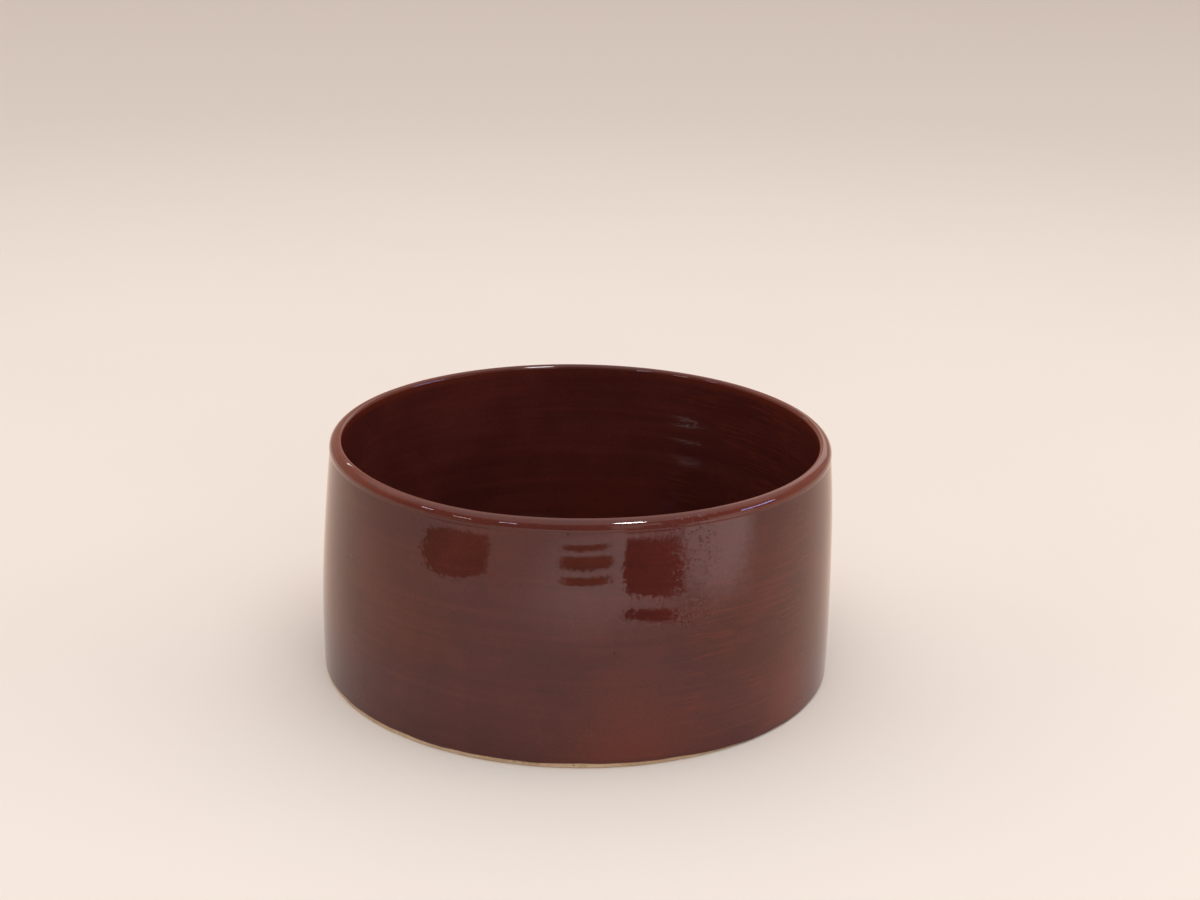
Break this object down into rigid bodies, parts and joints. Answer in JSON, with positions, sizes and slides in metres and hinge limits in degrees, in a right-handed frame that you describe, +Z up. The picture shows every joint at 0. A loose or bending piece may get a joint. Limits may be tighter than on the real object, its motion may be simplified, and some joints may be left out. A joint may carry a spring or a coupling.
{
  "type": "wine bottle coaster",
  "caption": "Low round glazed stoneware pot with a straight well that a wine bottle stands in, a rounded lip and a bare trimmed foot.",
  "frame": {"origin": "middle of the foot, on the table it stands on", "axes": "+Z up along the pot's axis, out of the well's mouth"},
  "size_m": [0.1022, 0.1022, 0.0474],
  "materials": {
    "fired_clay": "bare fired clay, matt and slightly gritty",
    "brown_glaze": "glossy red-brown iron glaze",
    "lining_glaze": "glossy red-brown iron glaze"
  },
  "bodies": {
    "root": {"stoneware_body": "fired_clay", "outer_glaze": "brown_glaze", "lining_glaze": "lining_glaze"}
  },
  "joints": []
}
